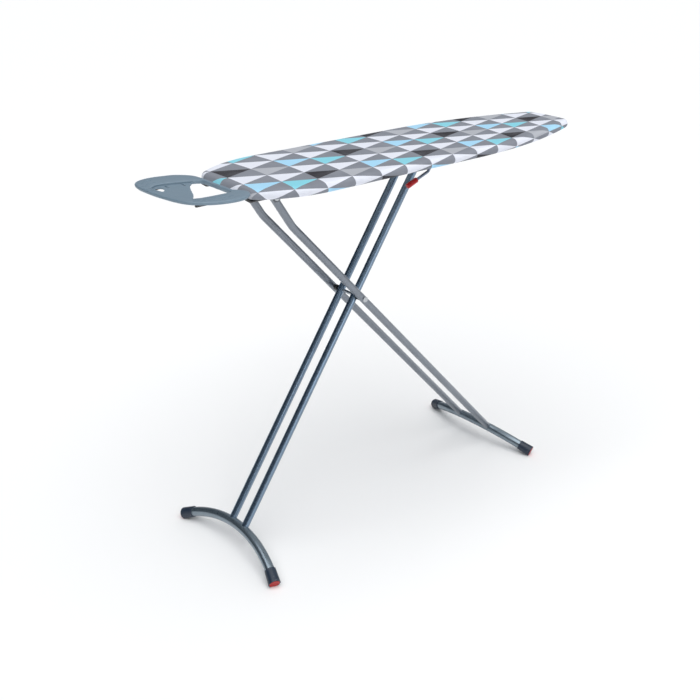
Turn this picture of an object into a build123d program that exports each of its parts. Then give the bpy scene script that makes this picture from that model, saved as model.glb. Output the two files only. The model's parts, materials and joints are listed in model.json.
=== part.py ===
from build123d import *
from math import atan2, cos, degrees, radians, sin, sqrt
import os

os.makedirs("parts", exist_ok=True)

# Ironing board standing open. +X towards the nose, +Y away from the user's side, +Z up.
# The origin is on the floor under the middle of the whole length. Millimetres.

# ---- board -------------------------------------------------------------------------------
TOP = 915.0             # height of the covered ironing surface
NOSE_X = 621.0          # tip of the nose; the iron rest ends at -NOSE_X
TAIL_X = -459.0         # square end of the board
HALF_W = 150.0          # half width of the parallel part
TAIL_TAPER_X = -287.0   # parallel part starts here
NOSE_TAPER_X = 165.0    # and ends here
TAIL_TAPER_R = 290.0
NOSE_TAPER_R = 1287.0
NOSE_END_R = 366.0      # the blunt nose is a shallow arc
TAIL_CORNER_R = 55.0
NOSE_CORNER_R = 24.0

COVER_T = 1.2
EDGE_T = 23.5           # thickness of the wrapped edge
EDGE_R = 11.0
HEM_W = 42.0            # width of cover turned under the edge
PAD_T = 6.5
DECK_T = 0.8
RIM_W = 14.0
RIM_H = 14.0
RIM_WALL = 1.2
RIM_INSET = 4.2
RIM_BEND_R = 4.5

HEM_Z = TOP - EDGE_T
PAD_Z = TOP - COVER_T - PAD_T
DECK_Z = PAD_Z - DECK_T
RIM_Z = PAD_Z - RIM_H
BRACE_W = 24.0
BRACE_H = DECK_Z - RIM_Z
BRACE_WALL = 1.5

# ---- legs --------------------------------------------------------------------------------
TUBE_R = 9.0
TUBE_WALL = 1.2
OUTER_Y = 54.25         # half spacing of the outer pair
INNER_Y = 25.05         # half spacing of the inner pair
HINGE_X, HINGE_Z = -376.0, 881.0        # outer leg turns here, under the tail
BEND_X, BEND_Z = -323.4, 800.6          # the outer tubes kink here
CROSS_X, CROSS_Z = -115.1, 577.5        # the two legs are riveted together here
RACK_X, RACK_Z = 88.0, 877.0            # the inner leg's top bar in its rack
BEND_R = 110.0
OUTER_ANGLE = degrees(atan2(BEND_Z - CROSS_Z, CROSS_X - BEND_X))
INNER_ANGLE = degrees(atan2(RACK_Z - CROSS_Z, RACK_X - CROSS_X))
OUTER_REACH = 726.0     # crossing to the crown of the outer foot, along the leg
INNER_REACH = 627.0     # the same on the inner leg
OUTER_RISE = 42.0       # rise of the outer foot's arch
INNER_RISE = 51.0
FOOT_HALF = 178.0       # half length of a foot between its caps' centres
FOOT_R = 12.0
FOOT_WALL = 1.4
CAP_MOUTH_R, CAP_R = 13.6, 14.8     # cap at its mouth and at its end face
CAP_IN = 22.0           # cap past its centre, inwards and outwards
CAP_OUT = 15.0
DISC_R = 12.6
DISC_T = 1.6

PIN_R = 4.0
RUN = 0.05              # radial running clearance of every pivot
BAR_R = 6.0
RAIL_Y = 46.0           # inner face of a rack plate
RAIL_T = 3.0
RAIL_END_X = 404.0
SLOT_UP, SLOT_DOWN = 11.0, 8.5          # rack slot above and below the bar's centre
RAIL_LOW = 861.0
NOTCHES = 6
NOTCH_STEP = 46.0
NOTCH_R = 6.6
NOTCH_DEEP = 2.6

# ---- release lever -----------------------------------------------------------------------
LEVER_X, LEVER_Z = 66.0, 881.0
LEVER_R = 3.5
LEVER_Y = -90.0
GRIP_START = (19.0, 854.0)
GRIP_END = (-11.0, 843.0)
GRIP_R = 6.5

# ---- iron rest ---------------------------------------------------------------------------
REST_TOP = TOP - 1.0
REST_T = 8.0
PLATE_DROP = 4.0
SUPPORT_R = 3.5
SUPPORT_Y = 80.0


def on_circle(centre, radius, x):
    """Upper point of a circle at a given x."""
    return (x, centre[1] + sqrt(radius**2 - (x - centre[0])**2))


def right_meeting(centre_a, radius_a, centre_b, radius_b):
    """Right-hand point where two circles cross."""
    away = Vector(*centre_b) - Vector(*centre_a)
    gap = away.length
    along = (gap**2 + radius_a**2 - radius_b**2) / (2 * gap)
    across = sqrt(radius_a**2 - along**2)
    run = away.normalized()
    foot = Vector(*centre_a) + run * along
    side = Vector(-run.Y, run.X) * across
    return max(((foot + side).X, (foot + side).Y), ((foot - side).X, (foot - side).Y))


TAIL_CENTRE = (TAIL_TAPER_X, HALF_W - TAIL_TAPER_R)
NOSE_CENTRE = (NOSE_TAPER_X, HALF_W - NOSE_TAPER_R)
END_CENTRE = (NOSE_X - NOSE_END_R, 0)


def board_outline(inset):
    """Plan shape of the board, moved inwards by inset."""
    tail_r, nose_r, end_r = TAIL_TAPER_R - inset, NOSE_TAPER_R - inset, NOSE_END_R - inset
    half = HALF_W - inset
    tail_x = TAIL_X + inset
    tail_corner = on_circle(TAIL_CENTRE, tail_r, tail_x)
    tail_mid = on_circle(TAIL_CENTRE, tail_r, (tail_x + TAIL_TAPER_X) / 2)
    nose_corner = right_meeting(NOSE_CENTRE, nose_r, END_CENTRE, end_r)
    nose_mid = on_circle(NOSE_CENTRE, nose_r, (nose_corner[0] + NOSE_TAPER_X) / 2)
    with BuildSketch() as outline:
        with BuildLine():
            Line((tail_x, 0), tail_corner)
            ThreePointArc(tail_corner, tail_mid, (TAIL_TAPER_X, half))
            Line((TAIL_TAPER_X, half), (NOSE_TAPER_X, half))
            ThreePointArc((NOSE_TAPER_X, half), nose_mid, nose_corner)
            ThreePointArc(nose_corner, on_circle(END_CENTRE, end_r, NOSE_X - inset - 1.0),
                          (NOSE_X - inset, 0))
            Line((NOSE_X - inset, 0), (tail_x, 0))
        make_face()
        fillet(outline.vertices().sort_by_distance(tail_corner)[0], TAIL_CORNER_R - inset)
        fillet(outline.vertices().sort_by_distance(nose_corner)[0],
               max(NOSE_CORNER_R - inset, 5.0))
        mirror(about=Plane.XZ)
    return outline.sketch


def leg_plane(angle, reach, side, y=0.0):
    """Plane across a leg: normal runs down the leg, reach from the crossing; side +1 leans to +X."""
    run = (side * cos(radians(angle)), 0, -sin(radians(angle)))
    origin = (CROSS_X + run[0] * reach, y, CROSS_Z + run[2] * reach)
    return Plane(origin=origin, x_dir=(0, 1, 0), z_dir=run)


def foot_plane(angle, reach, side):
    """Plane that holds a foot's arch: x is +Y, y runs down the leg, origin at the crown."""
    run = (side * cos(radians(angle)), 0, -sin(radians(angle)))
    origin = (CROSS_X + run[0] * reach, 0, CROSS_Z + run[2] * reach)
    return Plane(origin=origin, x_dir=(0, 1, 0), z_dir=Vector(0, 1, 0).cross(Vector(*run)))


def arch_radius(rise):
    return (FOOT_HALF**2 + rise**2) / (2 * rise)


def foot_arch(plane, rise, outer_r, bore_r):
    """Arched tube through the crown, from one cap's centre to the other's."""
    with BuildPart() as arch:
        with BuildLine(plane) as path:
            ThreePointArc((-FOOT_HALF, rise), (0, 0), (FOOT_HALF, rise))
        with BuildSketch(Plane(origin=path.line @ 0, z_dir=path.line % 0)):
            Circle(outer_r)
            if bore_r:
                Circle(bore_r, mode=Mode.SUBTRACT)
        sweep()
    return arch.part


def cap_plane(plane, rise, end):
    """Plane at a foot's end, normal pointing out along the arch; end is -1 near, +1 far."""
    lean = degrees(atan2(FOOT_HALF, arch_radius(rise) - rise))
    point = plane.from_local_coords(Vector(end * FOOT_HALF, rise, 0))
    out = plane.from_local_coords(Vector(end * (FOOT_HALF + cos(radians(lean))),
                                         rise + sin(radians(lean)), 0)) - point
    return Plane(origin=point, z_dir=out)


def make_cap(plane, rise, end):
    """Plastic end cap: a cup over the tube's end, ground flat where it stands."""
    at = cap_plane(plane, rise, end)
    tube_end = foot_arch(plane, rise, FOOT_R, 0)
    with BuildPart() as cap:
        with BuildSketch(at.offset(-CAP_IN)):
            Circle(CAP_MOUTH_R)
        flare = degrees(atan2(CAP_R - CAP_MOUTH_R, CAP_IN + CAP_OUT))
        extrude(amount=CAP_IN + CAP_OUT, taper=-flare)
        fillet(cap.edges().filter_by(GeomType.CIRCLE), 0.7)
        with BuildSketch(at.offset(CAP_OUT - DISC_T)):
            Circle(DISC_R)
        extrude(amount=DISC_T, mode=Mode.SUBTRACT)
        add(tube_end, mode=Mode.SUBTRACT)
        add(below_floor, mode=Mode.SUBTRACT)
    return cap.part


def make_disc(plane, rise, end):
    """Coloured disc let into the cap's end face."""
    at = cap_plane(plane, rise, end)
    with BuildPart() as disc:
        with BuildSketch(at.offset(CAP_OUT - DISC_T)):
            Circle(DISC_R)
        extrude(amount=DISC_T + 0.6)
        fillet(disc.edges().filter_by(GeomType.CIRCLE).sort_by(
            lambda e: (e.center() - at.origin).dot(at.z_dir))[-1], 0.5)
        add(below_floor, mode=Mode.SUBTRACT)
    return disc.part


def cross_rod(x, z, y_from, y_to, radius, bore=0.0):
    """Round bar along Y, or a sleeve if it has a bore."""
    with BuildPart() as rod:
        with BuildSketch(Plane(origin=(x, y_from, z), z_dir=(0, 1, 0))):
            Circle(radius)
            if bore:
                Circle(bore, mode=Mode.SUBTRACT)
        extrude(amount=y_to - y_from)
    return rod.part


def save(part, name):
    part.label = name
    export_step(part, "parts/" + name + ".step")


below_floor = Pos(0, 0, -50) * Box(1400, 600, 100)      # taken off what stands on the floor
outer_foot_plane = foot_plane(OUTER_ANGLE, OUTER_REACH, 1)
inner_foot_plane = foot_plane(INNER_ANGLE, INNER_REACH, -1)

# ---- cover: a fitted bag with rounded edge and a hem turned under ---------------------------
with BuildPart() as cover_inside:
    with BuildSketch(Plane.XY.offset(HEM_Z + COVER_T)):
        add(board_outline(COVER_T))
    extrude(amount=EDGE_T - 2 * COVER_T)
    fillet(cover_inside.edges().group_by(Axis.Z)[-1], EDGE_R - COVER_T)
    fillet(cover_inside.edges().group_by(Axis.Z)[0], EDGE_R - COVER_T)

with BuildPart() as cover:
    with BuildSketch(Plane.XY.offset(HEM_Z)):
        add(board_outline(0))
    extrude(amount=EDGE_T)
    fillet(cover.edges().group_by(Axis.Z)[-1], EDGE_R)
    fillet(cover.edges().group_by(Axis.Z)[0], EDGE_R)
    add(cover_inside.part, mode=Mode.SUBTRACT)
    with BuildSketch(Plane.XY.offset(HEM_Z - 1)):
        add(board_outline(HEM_W))
    extrude(amount=COVER_T + 2, mode=Mode.SUBTRACT)
save(cover.part, "cover")

# ---- felt pad under the cover ---------------------------------------------------------------
PAD_INSET = 5.5
with BuildPart() as pad:
    with BuildSketch(Plane.XY.offset(PAD_Z)):
        add(board_outline(PAD_INSET))
    extrude(amount=PAD_T)
    fillet(pad.edges().group_by(Axis.Z)[-1], PAD_T - 0.5)
save(pad.part, "felt_pad")

# ---- rim, a folded channel open to the inside, and the deck in it ----------------------------
with BuildPart() as rim_hollow:
    with BuildSketch(Plane.XY.offset(RIM_Z + RIM_WALL)):
        add(board_outline(RIM_INSET + RIM_WALL))
    extrude(amount=RIM_H - 2 * RIM_WALL)
    fillet(rim_hollow.edges().group_by(Axis.Z)[0], RIM_BEND_R - RIM_WALL)
    fillet(rim_hollow.edges().group_by(Axis.Z)[-1], RIM_BEND_R - RIM_WALL)

with BuildPart() as rim:
    with BuildSketch(Plane.XY.offset(RIM_Z)):
        add(board_outline(RIM_INSET))
    extrude(amount=RIM_H)
    fillet(rim.edges().group_by(Axis.Z)[0], RIM_BEND_R)
    fillet(rim.edges().group_by(Axis.Z)[-1], RIM_BEND_R)
    add(rim_hollow.part, mode=Mode.SUBTRACT)
    with BuildSketch(Plane.XY.offset(RIM_Z - 1)):
        add(board_outline(RIM_INSET + RIM_W))
    extrude(amount=RIM_H + 2, mode=Mode.SUBTRACT)
save(rim.part, "rim_frame")

with BuildPart() as deck:
    with BuildSketch(Plane.XY.offset(DECK_Z)):
        add(board_outline(RIM_INSET + RIM_W))
    extrude(amount=DECK_T)
save(deck.part, "mesh_deck")

# ---- braces across the underside ------------------------------------------------------------
BRACES = {"tail_brace": HINGE_X, "lever_brace": LEVER_X, "rack_brace": 236.0, "nose_brace": 398.0}


def make_brace(x):
    """Folded channel, open at the top, between the two sides of the rim."""
    between_rims = board_outline(RIM_INSET + RIM_W)
    with BuildPart() as brace:
        with BuildSketch(Plane.XY.offset(RIM_Z)):
            with Locations((x, 0)):
                Rectangle(BRACE_W, 2 * HALF_W)
            add(between_rims, mode=Mode.INTERSECT)
        extrude(amount=BRACE_H)
        with BuildSketch(Plane.XY.offset(RIM_Z + BRACE_WALL)):
            with Locations((x, 0)):
                Rectangle(BRACE_W - 2 * BRACE_WALL, 2 * HALF_W)
        extrude(amount=BRACE_H, mode=Mode.SUBTRACT)
    return brace.part


for brace_name, brace_x in BRACES.items():
    save(make_brace(brace_x), brace_name)

# ---- hinge brackets, hinge rod and its nuts -------------------------------------------------
BRACKET_Y = 69.0
BRACKET_T = 2.5
BRACKET_HALF = 16.0
FLANGE_W = 15.0
BRACKET_LOW = HINGE_Z - 11.0


def make_hinge_bracket(side):
    """Pressed ear that carries the hinge rod, with a foot welded to the tail brace."""
    with BuildPart() as bracket:
        ear = Plane(origin=(HINGE_X, side * BRACKET_Y, 0), x_dir=(1, 0, 0), z_dir=(0, -1, 0))
        with BuildSketch(ear):
            with BuildLine():
                Polyline((-BRACKET_HALF, RIM_Z), (BRACKET_HALF, RIM_Z), (11, HINGE_Z - 4),
                         (6, BRACKET_LOW), (-6, BRACKET_LOW), (-11, HINGE_Z - 4),
                         (-BRACKET_HALF, RIM_Z))
            make_face()
            with Locations((0, HINGE_Z)):
                Circle(PIN_R, mode=Mode.SUBTRACT)
        extrude(amount=-side * BRACKET_T)
        with BuildSketch(Plane.XY.offset(RIM_Z - BRACKET_T)):
            with Locations((HINGE_X, side * (BRACKET_Y + FLANGE_W / 2))):
                Rectangle(2 * BRACKET_HALF, FLANGE_W)
        extrude(amount=BRACKET_T)
    return bracket.part


save(make_hinge_bracket(-1), "hinge_bracket_near")
save(make_hinge_bracket(1), "hinge_bracket_far")

ROD_HALF = BRACKET_Y + BRACKET_T + 4.0
save(cross_rod(HINGE_X, HINGE_Z, -ROD_HALF, ROD_HALF, PIN_R), "hinge_rod")

with BuildPart() as push_nuts:
    for side in (-1, 1):
        start = side * (BRACKET_Y + BRACKET_T)
        with BuildSketch(Plane(origin=(HINGE_X, start, HINGE_Z), z_dir=(0, side, 0))):
            Circle(8.0)
            Circle(PIN_R, mode=Mode.SUBTRACT)
        extrude(amount=1.6)
save(push_nuts.part, "hinge_push_nuts")

# ---- rack plates with notches, and the guide strips below them ------------------------------
NOTCH_TOP = RACK_Z + SLOT_UP
LUG_END = RACK_X - BAR_R - 4.0


def make_rack_plate(side):
    """Long plate hanging from the braces; its slot's upper edge is notched for the top bar."""
    plate = Plane(origin=(0, side * RAIL_Y, 0), x_dir=(1, 0, 0), z_dir=(0, -1, 0))
    with BuildPart() as rack:
        with BuildSketch(plate):
            with BuildLine():
                Polyline((LEVER_X - 15, RIM_Z), (RAIL_END_X + 8, RIM_Z),
                         (RAIL_END_X + 8, RAIL_LOW), (RAIL_END_X, RAIL_LOW),
                         (RAIL_END_X, NOTCH_TOP), (LUG_END, NOTCH_TOP), (LUG_END, RAIL_LOW),
                         (LEVER_X - 6, RAIL_LOW), (LEVER_X - 15, RIM_Z - 12),
                         (LEVER_X - 15, RIM_Z))
            make_face()
            with Locations((LEVER_X, LEVER_Z)):
                Circle(LEVER_R + RUN, mode=Mode.SUBTRACT)
            for i in range(NOTCHES):
                with Locations((RACK_X + i * NOTCH_STEP, NOTCH_TOP + NOTCH_DEEP - NOTCH_R)):
                    Circle(NOTCH_R, mode=Mode.SUBTRACT)
        extrude(amount=-side * RAIL_T)
        with BuildSketch(Plane.XY.offset(RIM_Z - 2.0)):
            with Locations(((LEVER_X - 15 + RAIL_END_X + 8) / 2, side * (RAIL_Y + RAIL_T + 7))):
                Rectangle(RAIL_END_X - LEVER_X + 23, 14)
        extrude(amount=2.0)
    return rack.part


def make_guide_strip(side):
    """Strip that closes the rack slot from below."""
    centre = (LUG_END + RAIL_END_X) / 2
    with BuildPart() as strip:
        with BuildSketch(Plane.XY.offset(RAIL_LOW)):
            with Locations((centre, side * (RAIL_Y + RAIL_T / 2))):
                Rectangle(RAIL_END_X - LUG_END, RAIL_T)
        extrude(amount=RACK_Z - SLOT_DOWN - RAIL_LOW)
    return strip.part


for side, side_name in ((-1, "near"), (1, "far")):
    save(make_rack_plate(side), "rack_plate_" + side_name)
    save(make_guide_strip(side), "rack_guide_" + side_name)

# ---- release lever --------------------------------------------------------------------------
HANGER_Y = -78.0
with BuildPart() as lever_hanger:
    ear = Plane(origin=(LEVER_X, HANGER_Y, 0), x_dir=(1, 0, 0), z_dir=(0, -1, 0))
    with BuildSketch(ear):
        with Locations((0, (RIM_Z + LEVER_Z - 9) / 2)):
            Rectangle(22, RIM_Z - LEVER_Z + 9)
        with Locations((0, LEVER_Z)):
            Circle(LEVER_R + RUN, mode=Mode.SUBTRACT)
    extrude(amount=2.5)
    fillet(lever_hanger.edges().filter_by(Axis.Y).group_by(Axis.Z)[0], 6.0)
save(lever_hanger.part, "lever_hanger")

grip_len = sqrt((GRIP_END[0] - GRIP_START[0])**2 + (GRIP_END[1] - GRIP_START[1])**2)
grip_run = ((GRIP_END[0] - GRIP_START[0]) / grip_len, 0, (GRIP_END[1] - GRIP_START[1]) / grip_len)
grip_plane = Plane(origin=(GRIP_START[0], LEVER_Y, GRIP_START[1]), z_dir=grip_run)
KNEE = (GRIP_START[0] - 40 * grip_run[0], GRIP_START[1] - 40 * grip_run[2])

with BuildPart() as lever_rod:
    with BuildLine() as lever_path:
        FilletPolyline((LEVER_X, RAIL_Y + RAIL_T + 3, LEVER_Z), (LEVER_X, LEVER_Y, LEVER_Z),
                       (KNEE[0], LEVER_Y, KNEE[1]),
                       (GRIP_START[0] + 22 * grip_run[0], LEVER_Y,
                        GRIP_START[1] + 22 * grip_run[2]),
                       radius=6.0)
    with BuildSketch(Plane(origin=lever_path.line @ 0, z_dir=lever_path.line % 0)):
        Circle(LEVER_R)
    sweep()
save(lever_rod.part, "lever_rod")

with BuildPart() as lever_grip:
    with BuildSketch(grip_plane):
        Circle(GRIP_R)
    extrude(amount=grip_len)
    fillet(lever_grip.edges().filter_by(GeomType.CIRCLE).sort_by(Axis.Z)[0], 3.0)
    fillet(lever_grip.edges().filter_by(GeomType.CIRCLE).sort_by(Axis.Z)[-1], 1.5)
    with BuildSketch(grip_plane):
        Circle(LEVER_R)
    extrude(amount=22.0, mode=Mode.SUBTRACT)
save(lever_grip.part, "lever_grip")

# two catch plates on the lever's shaft, each with its nose just short of the top bar
with BuildPart() as lever_catches:
    for side in (-1, 1):
        catch = Plane(origin=(LEVER_X, side * (RAIL_Y - 3.5), LEVER_Z), x_dir=(1, 0, 0),
                      z_dir=(0, -1, 0))
        with BuildSketch(catch):
            with BuildLine():
                Polyline((-8, 4), (-3, 8), (7, 6), (13.5, 1.5), (13.5, -5.5), (6, -8), (-6, -7),
                         (-8, 4))
            make_face()
            Circle(LEVER_R, mode=Mode.SUBTRACT)
        extrude(amount=2.5, both=False, dir=(0, -side, 0))
save(lever_catches.part, "lever_catches")

SPRING_R, SPRING_WIRE, SPRING_PITCH, SPRING_TURNS = 5.4, 0.6, 2.0, 9
with BuildPart() as lever_spring:
    with BuildLine() as coil:
        Helix(pitch=SPRING_PITCH, height=SPRING_PITCH * SPRING_TURNS, radius=SPRING_R,
              center=(LEVER_X, -72.5, LEVER_Z), direction=(0, 1, 0))
    with BuildSketch(Plane(origin=coil.line @ 0, z_dir=coil.line % 0)):
        Circle(SPRING_WIRE)
    sweep(is_frenet=True)
save(lever_spring.part, "lever_spring")

# ---- iron rest ------------------------------------------------------------------------------
BAR_OUT, BAR_IN = -478.0, -488.0        # the bar beside the board's end
rest_rim = [(BAR_OUT, 56), (-485, 90), (-512, 114), (-558, 126), (-598, 119), (-617.2, 88),
            (-618.2, 20), (-609, -50), (-580, -97), (-532, -121), (-487, -120), (-463, -102),
            (-465, -80), (BAR_OUT, -60)]
well = [(-505, 47), (-540, 60), (-578, 69), (-601, 54), (-605, 12), (-598, -35), (-580, -64),
        (-552, -71), (-508, -73)]
curve_edge = [(-579, -67), (-569, -52), (-556, -33), (-541, 0), (-524, 32), (-505, 47)]
with BuildPart() as iron_rest:
    with BuildSketch(Plane.XY.offset(REST_TOP - REST_T)):
        with BuildLine():
            Spline(*rest_rim, tangents=((0, 1), (0, 1)))
            Line((BAR_OUT, -60), (BAR_OUT, 56))
        make_face()
    extrude(amount=REST_T)
    with BuildSketch(Plane.XY.offset(REST_TOP - PLATE_DROP)):
        with BuildLine():
            Line((BAR_IN, -70), (BAR_IN, 42))
            Line((BAR_IN, 42), well[0])
            Spline(*well)
            Line(well[-1], (BAR_IN, -70))
        make_face()
    extrude(amount=PLATE_DROP + 1, mode=Mode.SUBTRACT)
    with BuildSketch(Plane.XY.offset(REST_TOP - REST_T - 1)):
        with BuildLine():
            Line((BAR_IN, -70), (BAR_IN, 42))
            Line((BAR_IN, 42), curve_edge[-1])
            Spline(*curve_edge)
            Polyline(curve_edge[0], (-552, -71), well[-1], (BAR_IN, -70))
        make_face()
    extrude(amount=REST_T + 2, mode=Mode.SUBTRACT)
save(iron_rest.part, "iron_rest")

# ---- bent wires that carry the iron rest ----------------------------------------------------
WIRE_LOW = RIM_Z - BRACKET_T - SUPPORT_R
WIRE_HIGH = REST_TOP - REST_T - SUPPORT_R
for side, side_name in ((-1, "near"), (1, "far")):
    with BuildPart() as wire:
        with BuildLine() as wire_path:
            FilletPolyline((HINGE_X + 14, side * SUPPORT_Y, WIRE_LOW),
                           (TAIL_X + 8, side * SUPPORT_Y, WIRE_LOW),
                           (TAIL_X - 14, side * SUPPORT_Y, WIRE_HIGH),
                           (-583, side * SUPPORT_Y, WIRE_HIGH), radius=12.0)
        with BuildSketch(Plane(origin=wire_path.line @ 0, z_dir=wire_path.line % 0)):
            Circle(SUPPORT_R)
        sweep()
        fillet(wire.edges().filter_by(GeomType.CIRCLE).sort_by(Axis.X)[0], 2.0)
    save(wire.part, "rest_wire_" + side_name)

# ---- outer leg: bent pair of tubes, top sleeve, arched foot ---------------------------------
outer_foot_solid = foot_arch(outer_foot_plane, OUTER_RISE, FOOT_R, 0)
SLEEVE_HALF = 66.0
SLEEVE_R = 10.0


sleeve_cut = cross_rod(HINGE_X, HINGE_Z, -90, 90, SLEEVE_R)
rivet_cut = cross_rod(CROSS_X, CROSS_Z, -90, 90, PIN_R)


def make_outer_tube(side):
    foot = leg_plane(OUTER_ANGLE, OUTER_REACH + 6, 1).origin
    with BuildPart() as tube:
        with BuildLine() as path:
            FilletPolyline((HINGE_X, side * OUTER_Y, HINGE_Z), (BEND_X, side * OUTER_Y, BEND_Z),
                           (foot.X, side * OUTER_Y, foot.Z), radius=BEND_R)
        with BuildSketch(Plane(origin=path.line @ 0, z_dir=path.line % 0)):
            Circle(TUBE_R)
            Circle(TUBE_R - TUBE_WALL, mode=Mode.SUBTRACT)
        sweep()
        add(outer_foot_solid, mode=Mode.SUBTRACT)
        add(sleeve_cut, mode=Mode.SUBTRACT)
        add(rivet_cut, mode=Mode.SUBTRACT)
    return tube.part


save(make_outer_tube(-1), "outer_tube_near")
save(make_outer_tube(1), "outer_tube_far")
save(cross_rod(HINGE_X, HINGE_Z, -SLEEVE_HALF, SLEEVE_HALF, SLEEVE_R, PIN_R + RUN),
     "outer_top_sleeve")
save(foot_arch(outer_foot_plane, OUTER_RISE, FOOT_R, FOOT_R - FOOT_WALL), "outer_foot")

# ---- inner leg: straight pair of tubes, top bar, arched foot --------------------------------
inner_foot_solid = foot_arch(inner_foot_plane, INNER_RISE, FOOT_R, 0)
INNER_UP = sqrt((RACK_X - CROSS_X)**2 + (RACK_Z - CROSS_Z)**2)
bar_cut = cross_rod(RACK_X, RACK_Z, -90, 90, BAR_R)
rivet_bore = cross_rod(CROSS_X, CROSS_Z, -90, 90, PIN_R + RUN)


def make_inner_tube(side):
    start = leg_plane(INNER_ANGLE, -INNER_UP, -1, side * INNER_Y)
    with BuildPart() as tube:
        with BuildSketch(start):
            Circle(TUBE_R)
            Circle(TUBE_R - TUBE_WALL, mode=Mode.SUBTRACT)
        extrude(amount=INNER_UP + INNER_REACH + 4)
        add(inner_foot_solid, mode=Mode.SUBTRACT)
        add(bar_cut, mode=Mode.SUBTRACT)
        add(rivet_bore, mode=Mode.SUBTRACT)
    return tube.part


save(make_inner_tube(-1), "inner_tube_near")
save(make_inner_tube(1), "inner_tube_far")
save(foot_arch(inner_foot_plane, INNER_RISE, FOOT_R, FOOT_R - FOOT_WALL), "inner_foot")
BAR_HALF = 53.0
save(cross_rod(RACK_X, RACK_Z, -BAR_HALF, BAR_HALF, BAR_R), "rack_bar")

with BuildPart() as bar_caps:
    for side in (-1, 1):
        with BuildSketch(Plane(origin=(RACK_X, side * BAR_HALF, RACK_Z), z_dir=(0, side, 0))):
            Circle(BAR_R + 2.0)
        extrude(amount=4.0)
    fillet(bar_caps.edges().filter_by(GeomType.CIRCLE), 1.2)
save(bar_caps.part, "rack_bar_caps")

# ---- caps and discs at both feet ------------------------------------------------------------
for leg_name, plane, rise in (("outer", outer_foot_plane, OUTER_RISE),
                              ("inner", inner_foot_plane, INNER_RISE)):
    for end, end_name in ((-1, "near"), (1, "far")):
        save(make_cap(plane, rise, end), leg_name + "_cap_" + end_name)
        save(make_disc(plane, rise, end), leg_name + "_disc_" + end_name)

# ---- rivet through both legs, with its heads and spacers ------------------------------------
RIVET_HALF = OUTER_Y + TUBE_R
save(cross_rod(CROSS_X, CROSS_Z, -RIVET_HALF, RIVET_HALF, PIN_R), "cross_rivet")

with BuildPart() as rivet_heads:
    for side in (-1, 1):
        with BuildSketch(Plane(origin=(CROSS_X, side * RIVET_HALF, CROSS_Z), z_dir=(0, side, 0))):
            Circle(7.0)
        extrude(amount=3.0)
    fillet(rivet_heads.edges().filter_by(GeomType.CIRCLE), 1.3)
save(rivet_heads.part, "rivet_heads")

with BuildPart() as spacers:
    for side in (-1, 1):
        gap = OUTER_Y - INNER_Y - 2 * TUBE_R
        start = side * (INNER_Y + TUBE_R + 0.35)
        with BuildSketch(Plane(origin=(CROSS_X, start, CROSS_Z), z_dir=(0, side, 0))):
            Circle(7.5)
            Circle(PIN_R, mode=Mode.SUBTRACT)
        extrude(amount=gap - 0.4)
save(spacers.part, "cross_spacers")
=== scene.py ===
import json
from math import atan2, cos, pi, radians, sin, sqrt

import bmesh
import bpy
from mathutils import Matrix, Vector, noise


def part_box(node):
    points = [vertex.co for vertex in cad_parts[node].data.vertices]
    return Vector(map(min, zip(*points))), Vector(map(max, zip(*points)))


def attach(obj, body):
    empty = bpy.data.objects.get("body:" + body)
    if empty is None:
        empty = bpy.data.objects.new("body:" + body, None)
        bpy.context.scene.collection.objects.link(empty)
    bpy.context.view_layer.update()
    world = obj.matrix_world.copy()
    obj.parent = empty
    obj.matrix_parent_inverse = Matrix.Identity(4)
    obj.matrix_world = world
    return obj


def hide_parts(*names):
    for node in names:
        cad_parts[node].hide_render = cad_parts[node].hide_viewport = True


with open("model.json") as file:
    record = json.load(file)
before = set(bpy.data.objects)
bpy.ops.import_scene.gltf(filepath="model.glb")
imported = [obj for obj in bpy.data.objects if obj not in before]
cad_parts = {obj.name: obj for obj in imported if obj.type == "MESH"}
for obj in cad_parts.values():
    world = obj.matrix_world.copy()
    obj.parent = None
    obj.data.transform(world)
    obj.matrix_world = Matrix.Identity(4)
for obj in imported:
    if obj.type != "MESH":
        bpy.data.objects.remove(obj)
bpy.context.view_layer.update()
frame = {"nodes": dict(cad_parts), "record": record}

MM = 0.001

# ---- board plan, the same arcs as the steel rim is bent to -------------------------------
TAIL_X, NOSE_X = -462 * MM, 621 * MM
HALF_W = 150 * MM
TAIL_TAPER_X, TAIL_TAPER_R = -287 * MM, 290 * MM
NOSE_TAPER_X, NOSE_TAPER_R = 165 * MM, 1287 * MM
NOSE_END_R = 366 * MM
TAIL_CORNER_R, NOSE_CORNER_R = 42 * MM, 24 * MM
COVER_LOW, COVER_HIGH = (corner[2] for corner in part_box("cover"))
EDGE_R = (COVER_HIGH - COVER_LOW) / 2
HEM_TURN = 31 * MM
HEM_GATHERS, HEM_RIPPLE = 61, 1.2 * MM      # small folds round the hem, and how far they stand out
CLOTH_T = 0.7 * MM

# ---- print on the cover ------------------------------------------------------------------
TRIANGLE_LENGTH = 78 * MM
TRIANGLE_BASE = 54 * MM
# over the edge the cloth is pulled round towards the corner where its cord is tied
DRAWN_TO = Vector((-0.61, -0.79, 0))
DRAWN_BY = 1.7
# columns and half rows of triangles at a point, as shares of 1, x, y, xy, x squared, y squared:
# the cloth is fitted slightly askew and drawn wider at the square end
COLUMN_SHARES = (3.541, 12.70, -1.55, -2.0, 0.21, 7.6)
HALF_ROW_SHARES = (2.052, 1.36, 34.6, 8.0, 0.21, -7.9)

WHITE_PRINT = "e9ecf6"
GREY_PRINT = "858992"
CHARCOAL_PRINT = "343338"
PALE_GREY_PRINT = "b4b7be"
SKY_PRINT = "aadcf8"
TURQUOISE_PRINT = "8ad6e6"


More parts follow.
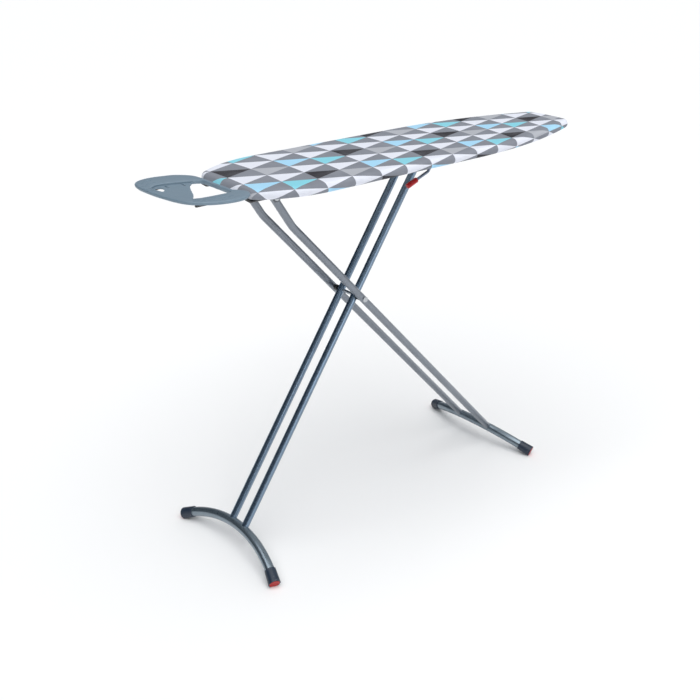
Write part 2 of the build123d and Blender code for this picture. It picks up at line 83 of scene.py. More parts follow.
def print_place(x, y):
    """Where a point of the board lies on the printed cloth, in metres of cloth."""
    terms = (1, x, y, x * y, x * x, y * y)
    columns, half_rows = (sum(share * term for share, term in zip(shares, terms))
                          for shares in (COLUMN_SHARES, HALF_ROW_SHARES))
    return columns * TRIANGLE_LENGTH, half_rows * TRIANGLE_BASE / 2


# ---- materials ---------------------------------------------------------------------------
MATHS, MIX, RANGE = "ShaderNodeMath", "ShaderNodeMix", "ShaderNodeMapRange"
NOISE, BUMP, SPLIT = "ShaderNodeTexNoise", "ShaderNodeBump", "ShaderNodeSeparateXYZ"
PLACE, STRETCH = "ShaderNodeTexCoord", "ShaderNodeMapping"
# a colour mix takes its factor and its two colours at these inputs, and gives this output
FACTOR, FIRST, SECOND, BLEND = 0, 6, 7, 2


def linear(code):
    """sRGB hex to a linear RGBA tuple."""
    channels = [int(code[i:i + 2], 16) / 255 for i in (0, 2, 4)]
    return tuple(c / 12.92 if c <= 0.04045 else ((c + 0.055) / 1.055)**2.4 for c in channels) + (1,)


def add(tree, kind, inputs=(), out=0, **settings):
    """Adds a node and gives one of its outputs. Each input, by name, by number or in order, is
    a socket to link or a constant."""
    made = tree.nodes.new(kind)
    for name, value in settings.items():
        setattr(made, name, value)
    for key, value in (inputs if isinstance(inputs, dict) else dict(enumerate(inputs))).items():
        if isinstance(value, bpy.types.NodeSocket):
            tree.links.new(value, made.inputs[key])
        else:
            made.inputs[key].default_value = value
    return made.outputs[out]


def new_material(name, **values):
    """A named material with its shader's constant inputs set."""
    made = bpy.data.materials.new(name)
    made.use_nodes = True
    shader = made.node_tree.nodes["Principled BSDF"]
    for key, value in values.items():
        shader.inputs[key.replace("_", " ")].default_value = value
    return made, made.node_tree, shader


def printed_cotton():
    """Plain-woven cotton printed with flat pigment: matt, faintly fuzzy, threads just visible."""
    made, tree, shader = new_material("printed_cotton", Roughness=0.88, Sheen_Weight=0.04,
                                      Sheen_Roughness=0.5, Specular_IOR_Level=0.12)
    cloth = add(tree, "ShaderNodeUVMap", uv_map="cloth")
    run, breadth = (add(tree, SPLIT, (cloth,), axis) for axis in "XY")

    # columns of triangles that point along the board, every other column half a row lower
    along = add(tree, MATHS, (run, TRIANGLE_LENGTH), operation="DIVIDE")
    across = add(tree, MATHS, (breadth, TRIANGLE_BASE), operation="DIVIDE")
    column = add(tree, MATHS, (along,), operation="FLOOR")
    into = add(tree, MATHS, (along, column), operation="SUBTRACT")
    odd = add(tree, MATHS, (column, 2), operation="FLOORED_MODULO")
    lower = add(tree, MATHS, (odd, 0.5), operation="MULTIPLY")
    shifted = add(tree, MATHS, (across, lower), operation="SUBTRACT")
    row = add(tree, MATHS, (shifted,), operation="FLOOR")
    in_row = add(tree, MATHS, (shifted, row), operation="SUBTRACT")
    beside = add(tree, MATHS, (in_row, 0.5), operation="SUBTRACT")
    off_middle = add(tree, MATHS, (beside,), operation="ABSOLUTE")
    left_over = add(tree, MATHS, (1.0, into), operation="SUBTRACT")
    reach = add(tree, MATHS, (left_over, 0.5), operation="MULTIPLY")
    pointing = add(tree, MATHS, (off_middle, reach), operation="LESS_THAN")

    # the repeat is four columns long and steps two columns over every four half rows
    next_row = add(tree, MATHS, (row, 1.0), operation="ADD")
    doubled = add(tree, MATHS, (next_row, 2.0), operation="MULTIPLY")
    half_rows = add(tree, MATHS, (doubled, odd), operation="ADD")
    fours = add(tree, MATHS, (half_rows, 4.0), operation="DIVIDE")
    step = add(tree, MATHS, (fours,), operation="FLOOR")
    stepped = add(tree, MATHS, (step, 4.0), operation="MULTIPLY")
    in_step = add(tree, MATHS, (half_rows, stepped), operation="SUBTRACT")
    from_middle = add(tree, MATHS, (in_step, 1.5), operation="SUBTRACT")
    distance = add(tree, MATHS, (from_middle,), operation="ABSOLUTE")
    coloured = add(tree, MATHS, (distance, 1.0), operation="GREATER_THAN")
    moved_over = add(tree, MATHS, (step, 2.0), operation="MULTIPLY")
    repeat = add(tree, MATHS, (column, moved_over), operation="SUBTRACT")
    place = add(tree, MATHS, (repeat, 4.0), operation="FLOORED_MODULO")
    middle = add(tree, MATHS, (place, 0.5), operation="ADD")
    share = add(tree, MATHS, (middle, 4.0), operation="DIVIDE")
    colours = add(tree, "ShaderNodeValToRGB", (share,))
    ramp = colours.node.color_ramp
    ramp.interpolation = "CONSTANT"
    for position, code in ((0.25, TURQUOISE_PRINT), (0.5, SKY_PRINT)):
        ramp.elements.new(position).color = linear(code)
    ramp.elements[0].position, ramp.elements[0].color = 0.0, linear(CHARCOAL_PRINT)
    ramp.elements[-1].position, ramp.elements[-1].color = 0.75, linear(PALE_GREY_PRINT)
    triangle = add(tree, MIX, {FACTOR: coloured, FIRST: linear(WHITE_PRINT), SECOND: colours},
                   BLEND, data_type="RGBA")
    pigment = add(tree, MIX, {FACTOR: pointing, FIRST: linear(GREY_PRINT), SECOND: triangle},
                  BLEND, data_type="RGBA")

    # threads 0.45 mm apart, drawn at 1.1 mm so that they show at arm's length
    thread = 1.1 * MM
    turns = (add(tree, MATHS, (axis, 2 * pi / thread), operation="MULTIPLY")
             for axis in (run, breadth))
    warp, weft = (add(tree, MATHS, (turn,), operation="SINE") for turn in turns)
    weave = add(tree, MATHS, (warp, weft), operation="MULTIPLY")
    where = add(tree, PLACE, out="Object")
    wear = add(tree, NOISE, {"Vector": where, "Scale": 1 / (45 * MM), "Detail": 4.0,
                             "Roughness": 0.6})
    washed = add(tree, RANGE, (wear, 0.35, 0.75, 0.0, 0.10))
    faded = add(tree, MIX, {FACTOR: washed, FIRST: pigment, SECOND: linear("c9cdd6")},
                BLEND, data_type="RGBA")
    gaps = add(tree, RANGE, (weave, -1, 1, 0.0, 0.06))
    threads = add(tree, MIX, {FACTOR: gaps, FIRST: faded, SECOND: linear("3c3d42")},
                  BLEND, data_type="RGBA")
    tree.links.new(threads, shader.inputs["Base Color"])
    quilt = add(tree, NOISE, {"Vector": where, "Scale": 1 / (30 * MM), "Detail": 2.0,
                              "Roughness": 0.5})
    raised = add(tree, MATHS, (weave, 0.3), operation="MULTIPLY")
    soft = add(tree, MATHS, (raised, quilt), operation="ADD")
    relief = add(tree, BUMP, {"Height": soft, "Distance": 0.35 * MM, "Strength": 0.5})
    tree.links.new(relief, shader.inputs["Normal"])
    return made


def needled_felt():
    """Off-white needled polyester felt: fully matt with a hairy, uneven surface."""
    made, tree, shader = new_material("needled_felt", Roughness=0.95, Sheen_Weight=0.3)
    fibres = add(tree, NOISE, {"Vector": add(tree, PLACE, out="Object"), "Scale": 1 / (3 * MM),
                               "Detail": 6.0, "Roughness": 0.7})
    tint = add(tree, MIX, {FACTOR: fibres, FIRST: linear("b9b8b2"), SECOND: linear("dad9d3")},
               BLEND, data_type="RGBA")
    tree.links.new(tint, shader.inputs["Base Color"])
    relief = add(tree, BUMP, {"Height": fibres, "Distance": 0.8 * MM, "Strength": 0.7})
    tree.links.new(relief, shader.inputs["Normal"])
    return made


def coated_steel(name, code, roughness, metallic, orange_peel=0.25):
    """Steel tube or sheet under stoved metallic lacquer: soft broad highlights, slight orange
    peel."""
    made, tree, shader = new_material(name, Metallic=metallic, Coat_Weight=0.35,
                                      Coat_Roughness=0.12)
    where = add(tree, PLACE, out="Object")
    grain = add(tree, NOISE, {"Vector": where, "Scale": 1 / (2.5 * MM), "Detail": 3.0,
                              "Roughness": 0.6})
    flake = add(tree, NOISE, {"Vector": where, "Scale": 1 / (0.6 * MM), "Detail": 2.0,
                              "Roughness": 0.5})
    cloud = add(tree, NOISE, {"Vector": where, "Scale": 1 / (60 * MM), "Detail": 3.0,
                              "Roughness": 0.5})
    base = linear(code)
    darker = tuple(c * 0.86 for c in base[:3]) + (1,)
    lighter = tuple(min(1, c * 1.10) for c in base[:3]) + (1,)
    body = add(tree, MIX, {FACTOR: add(tree, RANGE, (cloud, 0.3, 0.7, 0, 1)), FIRST: darker,
                           SECOND: base}, BLEND, data_type="RGBA")
    speckled = add(tree, MIX, {FACTOR: add(tree, RANGE, (flake, 0.45, 0.75, 0, 0.5)),
                               FIRST: body, SECOND: lighter}, BLEND, data_type="RGBA")
    tree.links.new(speckled, shader.inputs["Base Color"])
    gloss = add(tree, RANGE, (grain, 0.3, 0.7, roughness - 0.05, roughness + 0.07))
    tree.links.new(gloss, shader.inputs["Roughness"])
    relief = add(tree, BUMP, {"Height": grain, "Distance": 0.05 * MM, "Strength": orange_peel})
    tree.links.new(relief, shader.inputs["Normal"])
    return made


def moulded_plastic(name, code, roughness, texture=0.35, mark="c8ccd0"):
    """Injection-moulded polypropylene: fine spark texture, satin, paler where it has rubbed."""
    made, tree, shader = new_material(name, IOR=1.49, Specular_IOR_Level=0.45)
    where = add(tree, PLACE, out="Object")
    spark = add(tree, NOISE, {"Vector": where, "Scale": 1 / (0.9 * MM), "Detail": 3.0,
                              "Roughness": 0.6})
    drawn_out = add(tree, STRETCH, {"Vector": where, "Scale": (1, 3, 1)})
    scuff = add(tree, NOISE, {"Vector": drawn_out, "Scale": 1 / (24 * MM), "Detail": 5.0,
                              "Roughness": 0.65})
    rubbed = add(tree, MIX, {FACTOR: add(tree, RANGE, (scuff, 0.58, 0.8, 0, 0.22)),
                             FIRST: linear(code), SECOND: linear(mark)}, BLEND, data_type="RGBA")
    tree.links.new(rubbed, shader.inputs["Base Color"])
    gloss = add(tree, RANGE, (scuff, 0.3, 0.7, roughness - 0.06, roughness + 0.08))
    tree.links.new(gloss, shader.inputs["Roughness"])
    relief = add(tree, BUMP, {"Height": spark, "Distance": 0.06 * MM, "Strength": texture})
    tree.links.new(relief, shader.inputs["Normal"])
    return made


def zinc_steel():
    """Bright zinc-plated steel: drawn along its length, lightly clouded."""
    made, tree, shader = new_material("zinc_plated_steel", Metallic=1.0)
    where = add(tree, PLACE, out="Object")
    cloud = add(tree, NOISE, {"Vector": where, "Scale": 1 / (8 * MM), "Detail": 4.0,
                              "Roughness": 0.6})
    lengthways = add(tree, STRETCH, {"Vector": where, "Scale": (1, 0.08, 1)})
    drawn = add(tree, NOISE, {"Vector": lengthways, "Scale": 1 / (0.8 * MM), "Detail": 2.0,
                              "Roughness": 0.5})
    tint = add(tree, MIX, {FACTOR: cloud, FIRST: linear("a9adb2"), SECOND: linear("cfd2d4")},
               BLEND, data_type="RGBA")
    tree.links.new(tint, shader.inputs["Base Color"])
    gloss = add(tree, RANGE, (drawn, 0.3, 0.7, 0.22, 0.4))
    tree.links.new(gloss, shader.inputs["Roughness"])
    relief = add(tree, BUMP, {"Height": drawn, "Distance": 0.02 * MM, "Strength": 0.3})
    tree.links.new(relief, shader.inputs["Normal"])
    return made


MATERIALS = {
    "cover_cloth": printed_cotton(),
    "felt": needled_felt(),
    "deck_steel": coated_steel("powder_coated_mesh", "b9bcc0", 0.42, 0.2),
    "bracket_steel": coated_steel("powder_coated_brackets", "5b6067", 0.42, 0.3),
    "outer_tube": coated_steel("hammer_grey_tube", "848a93", 0.3, 0.8),
    "inner_tube": coated_steel("gunmetal_blue_tube", "768a9e", 0.22, 0.9, 0.05),
    "foot_tube": coated_steel("slate_metallic_foot", "828f99", 0.3, 0.85),
    "lever_paint": coated_steel("silver_blue_lever", "8d96a8", 0.3, 0.85),
    "rest_plastic": moulded_plastic("slate_polypropylene", "748897", 0.4),
    "cap_plastic": moulded_plastic("navy_polypropylene", "222e3f", 0.4),
    "red_plastic": moulded_plastic("red_polypropylene", "ac0a10", 0.32, 0.2, "c03a32"),
    "black_plastic": moulded_plastic("black_nylon", "17181a", 0.38, 0.2, "5a5c60"),
    "black_wire": coated_steel("black_lacquered_wire", "0e0f11", 0.28, 0.0, 0.1),
    "pin_steel": zinc_steel(),
}


# ---- helpers for pieces ------------------------------------------------------------------
def finished(bm, name, slot, body, smooth=35):
    """Turns a bmesh into a piece of the object."""
    bmesh.ops.recalc_face_normals(bm, faces=bm.faces)
    mesh = bpy.data.meshes.new(name)
    bm.to_mesh(mesh)
    bm.free()
    piece = bpy.data.objects.new(name, mesh)
    bpy.context.scene.collection.objects.link(piece)
    mesh.materials.append(MATERIALS[slot])
    mesh.shade_smooth()
    mesh.set_sharp_from_angle(angle=radians(smooth))
    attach(piece, body)
    return piece


def on_circle(centre, radius, x):
    """Upper half of a circle at x."""
    return centre[1] + sqrt(max(0.0, radius**2 - (x - centre[0])**2))


TAIL_CENTRE = (TAIL_TAPER_X, HALF_W - TAIL_TAPER_R)
NOSE_CENTRE = (NOSE_TAPER_X, HALF_W - NOSE_TAPER_R)
END_CENTRE = (NOSE_X - NOSE_END_R, 0.0)
TAIL_CORNER = (TAIL_X + TAIL_CORNER_R,
               on_circle(TAIL_CENTRE, TAIL_TAPER_R - TAIL_CORNER_R, TAIL_X + TAIL_CORNER_R))


def nose_corner_centre():
    """Centre of the corner that touches the nose's side arc and its blunt end."""
    a, b = Vector(NOSE_CENTRE), Vector(END_CENTRE)
    radius_a, radius_b = NOSE_TAPER_R - NOSE_CORNER_R, NOSE_END_R - NOSE_CORNER_R
    gap = (b - a).length
    along = (gap**2 + radius_a**2 - radius_b**2) / (2 * gap)
    across = sqrt(radius_a**2 - along**2)
    run = (b - a) / gap
    return max((a + run * along + Vector((-run.y, run.x)) * side * across for side in (1, -1)),
               key=lambda point: point.x)


NOSE_CORNER = nose_corner_centre()


def away(centre, corner):
    """Angle of the point where a corner arc leaves the big arc it touches."""
    return atan2(corner[1] - centre[1], corner[0] - centre[0])


def upper_outline(inset, step=9 * MM):
    """Upper half of the board's plan, tail to nose, as points from arcs."""
    points = []

    def arc(centre, radius, start, end):
        sweep = abs(end - start)
        turns = max(3, int(sweep * radius / step) + 1, int(sweep / radians(9)))
        for i in range(turns):
            angle = start + (end - start) * i / turns
            points.append((centre[0] + radius * cos(angle), centre[1] + radius * sin(angle)))

    tail_leave = away(TAIL_CENTRE, TAIL_CORNER)
    nose_leave = away(NOSE_CENTRE, NOSE_CORNER)
    end_leave = away(END_CENTRE, NOSE_CORNER)
    arc(TAIL_CORNER, TAIL_CORNER_R - inset, pi, tail_leave)
    arc(TAIL_CENTRE, TAIL_TAPER_R - inset, tail_leave, pi / 2)
    straight = int((NOSE_TAPER_X - TAIL_TAPER_X) / step)
    points.extend((TAIL_TAPER_X + (NOSE_TAPER_X - TAIL_TAPER_X) * i / straight, HALF_W - inset)
                  for i in range(straight))
    arc(NOSE_CENTRE, NOSE_TAPER_R - inset, pi / 2, nose_leave)
    corner = max(NOSE_CORNER_R - inset, 4 * MM)
    arc(NOSE_CORNER, corner, nose_leave, end_leave)
    points.append((NOSE_CORNER[0] + corner * cos(end_leave),
                   NOSE_CORNER[1] + corner * sin(end_leave)))
    return points


def board_grid(inset, rows=28):
    """Flat quads over the board's plan: columns follow the outline, rows fan to its width."""
    sides = upper_outline(inset)
    bm = bmesh.new()
    bmesh.ops.create_grid(bm, x_segments=len(sides) - 1, y_segments=rows, size=1)
    nose_start = 470 * MM
    end_x = sides[-1][0]
    for vert in bm.verts:
        x, half = sides[round((vert.co.x + 1) / 2 * (len(sides) - 1))]
        y = vert.co.y * half
        bow = sqrt((NOSE_END_R - inset)**2 - y**2) + END_CENTRE[0] - end_x
        share = max(0.0, (x - nose_start) / (end_x - nose_start))
        vert.co = (x + bow * share, y, 0)
    return bm


def rim_ring(bm):
    """Boundary vertices with their outward plan directions."""
    ring = {}
    for vert in (v for v in bm.verts if v.is_boundary):
        total = Vector((0, 0, 0))
        for edge in (e for e in vert.link_edges if e.is_boundary):
            side = edge.other_vert(vert).co - vert.co
            normal = Vector((side.y, -side.x, 0)).normalized()
            inward = edge.link_faces[0].calc_center_median() - vert.co
            total += -normal if normal.dot(inward) > 0 else normal
        ring[vert] = total.normalized()
    return ring


# ---- cover -------------------------------------------------------------------------------
def make_cover():
    """Printed cloth pulled over the pad: flat top, rolled edge, hem gathered underneath."""
    bm = board_grid(EDGE_R)
    ring = rim_ring(bm)
    plan = {vert: vert.co.copy() for vert in bm.verts}
    base = {vert: (vert.co.copy(), out) for vert, out in ring.items()}
    edges = [edge for edge in bm.edges if edge.is_boundary]
    profile = [(EDGE_R * sin(radians(a)), EDGE_R * (1 - cos(radians(a))), EDGE_R * radians(a))
               for a in range(15, 181, 15)]
    turned = EDGE_R * pi
    hem_steps = 5
    for i in range(1, hem_steps + 1):
        inward = HEM_TURN * i / hem_steps
        profile.append((-inward, 2 * EDGE_R, turned + inward))
    for vert in bm.verts:
        vert.co.z = COVER_HIGH
    for out_by, down, cloth in profile:
        keys = {tuple(round(c, 6) for c in vert.co): vert for vert in base}
        grown = bmesh.ops.extrude_edge_only(bm, edges=edges)["geom"]
        fresh = [g for g in grown if isinstance(g, bmesh.types.BMVert)]
        edges = [g for g in grown if isinstance(g, bmesh.types.BMEdge) and g.is_boundary]
        moved = {}
        for vert in fresh:
            start, out = base[keys[tuple(round(c, 6) for c in vert.co)]]
            moved[vert] = (start, out)
            gather = max(0.0, (cloth - turned * 0.55) / (turned * 0.45 + HEM_TURN))
            angle = atan2(start.y, start.x * 0.35)
            wave = sin(angle * HEM_GATHERS + 1.7 * sin(angle * 9)) * gather
            lift = noise.noise(start * 30) * 0.4 * MM
            place = start + out * (out_by + wave * HEM_RIPPLE)
            vert.co = (place.x, place.y, COVER_HIGH - down + (wave * 0.9 * MM + lift) * gather)
            facing = max(0.0, out.dot(DRAWN_TO))
            plan[vert] = start + out * cloth + DRAWN_TO * DRAWN_BY * facing * down
        base = moved
    uv = bm.loops.layers.uv.new("cloth")
    for face in bm.faces:
        for loop in face.loops:
            loop[uv].uv = print_place(*plan[loop.vert].xy)
    piece = finished(bm, "fitted_cover", "cover_cloth", "board", 60)
    thick = piece.modifiers.new("thickness", "SOLIDIFY")
    thick.thickness = CLOTH_T
    thick.offset = -1
    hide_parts("cover")


# ---- felt pad ----------------------------------------------------------------------------
def make_felt():
    """Needled felt under the cover, its top edge rounded by the cloth pulled over it."""
    low, high = (corner[2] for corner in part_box("felt_pad"))
    inset = 11.5 * MM
    bm = board_grid(inset, 16)
    ring = rim_ring(bm)
    edges = [edge for edge in bm.edges if edge.is_boundary]
    for vert in bm.verts:
        vert.co.z = high - 0.2 * MM
    base = dict(ring)
    starts = {vert: vert.co.copy() for vert in ring}
    for out_by, height in ((2.2 * MM, high - 0.7 * MM), (4.4 * MM, high - 2.4 * MM),
                           (5.6 * MM, (low + high) / 2 - 0.6 * MM), (5.6 * MM, low)):
        keys = {tuple(round(c, 6) for c in vert.co): vert for vert in base}
        grown = bmesh.ops.extrude_edge_only(bm, edges=edges)["geom"]
        edges = [g for g in grown if isinstance(g, bmesh.types.BMEdge) and g.is_boundary]
        fresh, new_starts = {}, {}
        for vert in (g for g in grown if isinstance(g, bmesh.types.BMVert)):
            old = keys[tuple(round(c, 6) for c in vert.co)]
            fresh[vert], new_starts[vert] = base[old], starts[old]
            place = starts[old] + base[old] * out_by
            vert.co = (place.x, place.y, height)
        base, starts = fresh, new_starts
    bmesh.ops.holes_fill(bm, edges=edges, sides=0)
    piece = finished(bm, "felt_layer", "felt", "board")
    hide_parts("felt_pad")


# ---- expanded metal deck -----------------------------------------------------------------
def make_deck():
    """Slit and stretched sheet: diamond openings with flat strands."""
    low, high = (corner[2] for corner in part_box("mesh_deck"))
    cell_x, cell_y = 20 * MM, 9 * MM
    span, cells = 1.12, 60
    rim_clear = 18.4 * MM
    bm = bmesh.new()
    bmesh.ops.create_grid(bm, x_segments=cells, y_segments=cells, size=span / 2)
    bmesh.ops.rotate(bm, cent=(0, 0, 0), matrix=Matrix.Rotation(pi / 4, 3, "Z"), verts=bm.verts)
    diagonal = span / cells * sqrt(2)
    bmesh.ops.scale(bm, vec=(cell_x / diagonal, cell_y / diagonal, 1), verts=bm.verts)
    middle = ((TAIL_X + NOSE_X) / 2, 0, (low + high) / 2)
    bmesh.ops.translate(bm, vec=middle, verts=bm.verts)
    upper = upper_outline(rim_clear, 40 * MM)
    outline = upper + [(x, -y) for x, y in reversed(upper)]
    for i, (x, y) in enumerate(outline):
        next_x, next_y = outline[(i + 1) % len(outline)]
        out = Vector((next_x - x, next_y - y, 0)).cross(Vector((0, 0, 1)))
        if out.length < 1e-6:
            continue
        if out.dot(Vector((x, y, 0)) - Vector((middle[0], 0, 0))) < 0:
            out.negate()
        bmesh.ops.bisect_plane(bm, geom=bm.verts[:] + bm.edges[:] + bm.faces[:], dist=1e-6,
                               plane_co=(x, y, middle[2]), plane_no=out, clear_outer=True)
    bmesh.ops.remove_doubles(bm, verts=bm.verts, dist=0.2 * MM)
    piece = finished(bm, "expanded_deck", "deck_steel", "board", 30)
    strands = piece.modifiers.new("strands", "WIREFRAME")
    strands.thickness = 1.6 * MM
    strands.use_boundary = True
    strands.use_even_offset = False
    strands.use_replace = True
    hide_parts("mesh_deck")


# ---- iron rest ---------------------------------------------------------------------------
REST_LOW, REST_HIGH = (corner[2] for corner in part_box("iron_rest"))
WELL_DROP, PLATE_T = 4 * MM, 3.4 * MM
REST_MIDDLE = Vector((-548, -4)) * MM
REST_OUTLINE = [(-478, 20), (-478, 56), (-485, 88), (-510, 113), (-534, 121), (-558, 126),
                (-580, 124.5), (-598, 118), (-611, 104), (-616.9, 84), (-619.2, 60),
                (-618.9, 20), (-615.8, -12), (-609, -50), (-597, -79), (-578, -98),
                (-555, -113), (-530, -121), (-505, -123.5), (-485, -119), (-469, -107),
                (-462, -94), (-464, -80), (-478, -66), (-478, -40), (-478, -10)]
WELL_OUTLINE = [(-488, 12), (-488, 34), (-496, 44), (-520, 53), (-540, 60), (-560, 65.5),
                (-578, 68), (-592, 63), (-601, 50), (-605, 12), (-598, -35), (-590, -52),
                (-580, -63), (-566, -69), (-552, -71), (-525, -72.5), (-500, -73),
                (-489.5, -70), (-488, -60), (-488, -30)]
HOLE_EDGE = [(-582, -67), (-575, -60), (-566, -47), (-556, -33), (-548, -16), (-540, 1), (-531, 18),
             (-521, 34), (-512, 43), (-503, 50)]


def smooth_run(points, steps=6, closed=True):
    """Points on a smooth curve through the given ones, given in millimetres."""
    count = len(points)
    spans = count if closed else count - 1
    place = [Vector(p) * MM for p in points]

    def at(i):
        return place[i % count] if closed else place[max(0, min(count - 1, i))]

    run = []
    for i in range(spans):
        before, start, end, after = at(i - 1), at(i), at(i + 1), at(i + 2)
        for step in range(steps):
            t = step / steps
            run.append(0.5 * (2 * start + (end - before) * t
                              + (2 * before - 5 * start + 4 * end - after) * t**2
                              + (3 * start - before - 3 * end + after) * t**3))
    if not closed:
        run.append(place[-1])
    return run


def reach_along(outline, angle):
    """Distance from the rest's middle to its outline in one direction."""
    heading = Vector((cos(angle), sin(angle)))
    best = 0.0
    for i, start in enumerate(outline):
        side = outline[(i + 1) % len(outline)] - start
        cross = heading.x * side.y - heading.y * side.x
        if abs(cross) < 1e-12:
            continue
        gap = start - REST_MIDDLE
        along = (gap.x * side.y - gap.y * side.x) / cross
        on_side = (gap.x * heading.y - gap.y * heading.x) / cross
        if along > 0 and -1e-6 <= on_side <= 1 + 1e-6:
            best = max(best, along)
    return best


def outline_edges(bm, points, z):
    """A closed loop of edges through points at one height."""
    verts = [bm.verts.new((p.x, p.y, z)) for p in points]
    return [bm.edges.new((v, verts[(i + 1) % len(verts)])) for i, v in enumerate(verts)]


def add_block(bm, centre, size, turn=0.0, round_by=0.6 * MM):
    """A small block with softened edges."""
    block = bmesh.ops.create_cube(bm, size=1)["verts"]
    bmesh.ops.scale(bm, vec=size, verts=block)
    edges = list({edge for vert in block for edge in vert.link_edges})
    rounded = bmesh.ops.bevel(bm, geom=edges, offset=round_by, offset_type="OFFSET", segments=2,
                              profile=0.5, affect="EDGES", material=-1)["verts"]
    whole = list(set(rounded) | {v for v in block if v.is_valid})
    bmesh.ops.rotate(bm, cent=(0, 0, 0), matrix=Matrix.Rotation(turn, 3, "Z"), verts=whole)
    bmesh.ops.translate(bm, vec=centre, verts=whole)


def make_iron_rest():
    """Moulded rest: rounded ring, sunk plate with slots, open heel and rows of grip ribs."""
    outer, well = smooth_run(REST_OUTLINE), smooth_run(WELL_OUTLINE)
    spokes = 240
    angles = [2 * pi * i / spokes for i in range(spokes)]
    far = [reach_along(outer, a) for a in angles]
    near = [reach_along(well, a) for a in angles]
    bm = bmesh.new()
    ring = bmesh.ops.create_circle(bm, segments=spokes, radius=1)["verts"]
    ring = sorted(ring, key=lambda v: atan2(v.co.y, v.co.x) % (2 * pi))
    # each step of the ring's section: share of the way to the well, extra inset, height
    lip = 3.0 * MM
    section = [(0, 4.5 * MM, REST_LOW), (0, 2.4 * MM, REST_LOW + 0.8 * MM),
               (0, 0.8 * MM, REST_LOW + 2.4 * MM), (0, 0, REST_HIGH - 3.2 * MM)]
    section += [(0, lip * (1 - cos(radians(a))), REST_HIGH - 3.2 * MM + 3.2 * MM * sin(radians(a)))
                for a in (22, 45, 67, 90)]
    section += [(0.35, 0, REST_HIGH), (0.65, 0, REST_HIGH), (1, -2.2 * MM, REST_HIGH),
                (1, -0.9 * MM, REST_HIGH - 0.4 * MM), (1, -0.2 * MM, REST_HIGH - 1.2 * MM),
                (1, 0, REST_HIGH - 2.2 * MM), (1, 0, REST_LOW + 0.6 * MM), (1, -0.6 * MM, REST_LOW)]
    last_ring = set()
    for k, (share, inset, z) in enumerate(section):
        if k:
            edges = [e for e in bm.edges if all(v in last_ring for v in e.verts)]
            grown = bmesh.ops.extrude_edge_only(bm, edges=edges)["geom"]
            verts = [g for g in grown if isinstance(g, bmesh.types.BMVert)]
            ring = sorted(verts, key=lambda v: atan2(v.co.y - REST_MIDDLE.y, v.co.x - REST_MIDDLE.x)
                          % (2 * pi))
        for i, vert in enumerate(ring):
            reach = far[i] + (near[i] - far[i]) * share - inset
            vert.co = (REST_MIDDLE.x + cos(angles[i] + 1e-7) * reach,
                       REST_MIDDLE.y + sin(angles[i] + 1e-7) * reach, z)
        last_ring = set(ring)
    ends = [e for e in bm.edges if e.is_boundary]
    bmesh.ops.bridge_loops(bm, edges=ends)

    # sunk plate, cut away along the curved edge of the opening
    floor = REST_HIGH - WELL_DROP
    curved = smooth_run(HOLE_EDGE, closed=False)
    left = [REST_MIDDLE + Vector((cos(a), sin(a))) * (r + 1.5 * MM) for a, r in zip(angles, near)]
    first, last = (atan2(p.y - REST_MIDDLE.y, p.x - REST_MIDDLE.x) % (2 * pi)
                   for p in (curved[0], curved[-1]))
    side = [p for a, p in zip(angles, left) if last < a < first]
    crescent = smooth_run([(-594, 55), (-589, 61), (-582, 61), (-577, 54), (-577, 44), (-583, 33),
                           (-590, 26), (-593, 33), (-594, 45)])
    slot_corners = [(-2.6, -8), (2.6, -8), (2.6, 8), (-2.6, 8)]
    slots = [[(Vector(centre) + Vector(corner)) * MM for corner in slot_corners]
             for centre in ((-566, 52), (-531, 44))]
    before = set(bm.faces)
    edges = []
    for points in [curved + side] + [crescent] + slots:
        edges += outline_edges(bm, points, floor)
    bmesh.ops.triangle_fill(bm, edges=edges, use_beauty=True)
    faces = [f for f in bm.faces if f not in before]
    grown = bmesh.ops.extrude_face_region(bm, geom=faces)["geom"]
    bmesh.ops.translate(bm, vec=(0, 0, -PLATE_T),
                        verts=[g for g in grown if isinstance(g, bmesh.types.BMVert)])
    # hooks on the near inner edge that the wires snap into, and grip ribs on the ring
    for x, y in ((-556, -68), (-520, -70)):
        add_block(bm, (x * MM, y * MM, REST_LOW + 3 * MM), (9 * MM, 7 * MM, 5 * MM), 0.1, 1 * MM)
    for start, end, rows in ((105, 158, 2), (246, 296, 3)):
        for row in range(rows):
            count = 9
            for i in range(count):
                angle = radians(start + (end - start) * (i + 0.5 * (row % 2)) / count)
                k = round(angle / (2 * pi) * spokes) % spokes
                share = (row + 1) / (rows + 1)
                reach = far[k] + (near[k] - far[k]) * share
                rib = bmesh.ops.create_icosphere(bm, subdivisions=2, radius=1)["verts"]
                bmesh.ops.scale(bm, vec=(6.6 * MM, 1.5 * MM, 0.98 * MM), verts=rib)
                bmesh.ops.rotate(bm, cent=(0, 0, 0), verts=rib,
                                 matrix=Matrix.Rotation(angle + pi / 2 - 0.6, 3, "Z"))
                bmesh.ops.translate(bm, verts=rib,
                                    vec=(REST_MIDDLE.x + cos(angle) * reach,
                                         REST_MIDDLE.y + sin(angle) * reach, REST_HIGH))
    piece = finished(bm, "moulded_iron_rest", "rest_plastic", "board", 40)
    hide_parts("iron_rest")


make_cover()
make_felt()
make_deck()
make_iron_rest()

# ---- CAD nodes that are shown as they are ------------------------------------------------
slots = {entry["node"]: entry["material_slot"] for entry in frame["record"]["subparts"]}
for name, node in frame["nodes"].items():
    node.data.materials.clear()
    node.data.materials.append(MATERIALS[slots[name]])


# ---- floor, light and camera -------------------------------------------------------------
bpy.ops.mesh.primitive_plane_add(size=80, location=(0, 0, -0.5 * MM))
floor_plane = bpy.context.object
floor_plane.name = "studio_floor"
floor_paint = new_material("studio_floor_paint", Base_Color=linear("fafafa"), Roughness=0.9,
                           Specular_IOR_Level=0.1)[0]
floor_plane.data.materials.append(floor_paint)


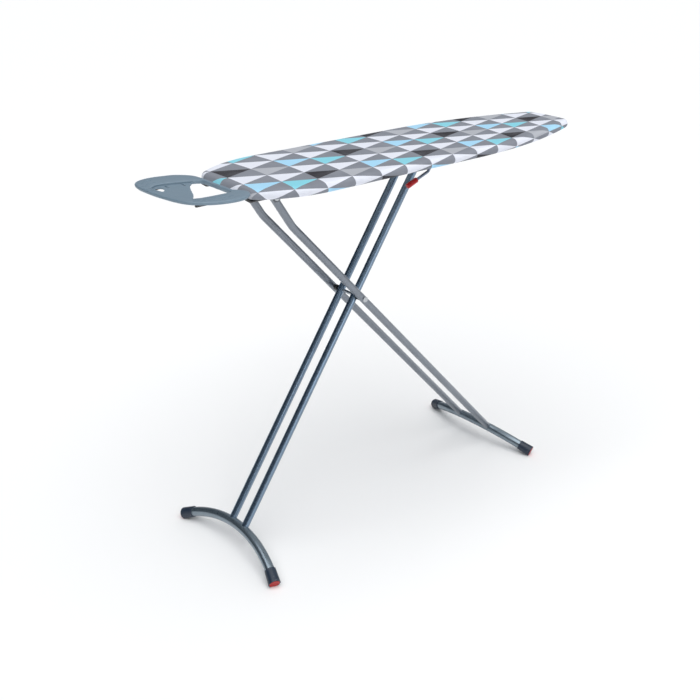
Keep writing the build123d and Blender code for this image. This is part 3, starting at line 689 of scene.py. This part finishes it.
def hang_light(name, kind, watts, place, heading, **settings):
    """A light of one kind, shining along its heading."""
    light = bpy.data.lights.new(name, kind)
    light.energy = watts
    for key, value in settings.items():
        setattr(light, key, value)
    lamp = bpy.data.objects.new(name, light)
    lamp.location = place
    lamp.rotation_euler = Vector(heading).to_track_quat("-Z", "Y").to_euler()
    bpy.context.scene.collection.objects.link(lamp)


# a long softbox that draws the tubes' highlights, and even light over the whole floor
STRIP_AT, STRIP_AIM = Vector((-0.9, -7.5, 1.1)), Vector((-0.3, 0, 0.6))
hang_light("highlight_strip", "AREA", 70, STRIP_AT, STRIP_AIM - STRIP_AT, shape="RECTANGLE",
           size=4.8, size_y=1.5)
hang_light("overhead", "SUN", 2.3, (0, 0, 0), (0.25, 0.2, -1), angle=radians(70))

# the studio: white ceiling, grey walls, and one dark wall for the tubes to reflect
DARK_WALL_TOWARDS = (-0.78, 0.5, 0.36)
world = bpy.data.worlds.new("studio")
bpy.context.scene.world = world
world.use_nodes = True
studio = world.node_tree
facing = add(studio, PLACE, out="Generated")
height = add(studio, SPLIT, (facing,), "Z")
towards_dark = add(studio, "ShaderNodeVectorMath", (facing, DARK_WALL_TOWARDS), "Value",
                   operation="DOT_PRODUCT")
ceiling = add(studio, MIX, {FACTOR: add(studio, RANGE, (height, 0.1, 0.75, 0.0, 1.0)),
                            FIRST: linear("848b96"), SECOND: linear("ffffff")},
              BLEND, data_type="RGBA")
walls = add(studio, MIX, {FACTOR: add(studio, RANGE, (towards_dark, 0.05, 0.6, 0.0, 1.0)),
                          FIRST: ceiling, SECOND: linear("34424f")}, BLEND, data_type="RGBA")
studio.links.new(walls, studio.nodes["Background"].inputs["Color"])
studio.nodes["Background"].inputs["Strength"].default_value = 0.8

CAMERA_AT = (-1.6128, -1.7300, 1.4816)
YAW, PITCH, ROLL = 0.736, -0.419, 0.013
SENSOR_MM, LENS_MM = 36.0, 51.79885714
SHIFT_X, SHIFT_Y = -0.0261428571, -0.021
forward = Vector((sin(YAW) * cos(PITCH), cos(YAW) * cos(PITCH), sin(PITCH)))
level = Vector((cos(YAW), -sin(YAW), 0))
upright = level.cross(forward)
right = level * cos(ROLL) + upright * sin(ROLL)
up = upright * cos(ROLL) - level * sin(ROLL)
camera_data = bpy.data.cameras.new("camera")
camera_data.sensor_width = SENSOR_MM
camera_data.lens = LENS_MM
camera_data.shift_x = SHIFT_X
camera_data.shift_y = SHIFT_Y
camera_data.clip_end = 100
camera = bpy.data.objects.new("camera", camera_data)
bpy.context.scene.collection.objects.link(camera)
camera.matrix_world = Matrix((right, up, -forward)).transposed().to_4x4()
camera.location = CAMERA_AT
bpy.context.scene.camera = camera
bpy.context.scene.view_settings.view_transform = "Standard"
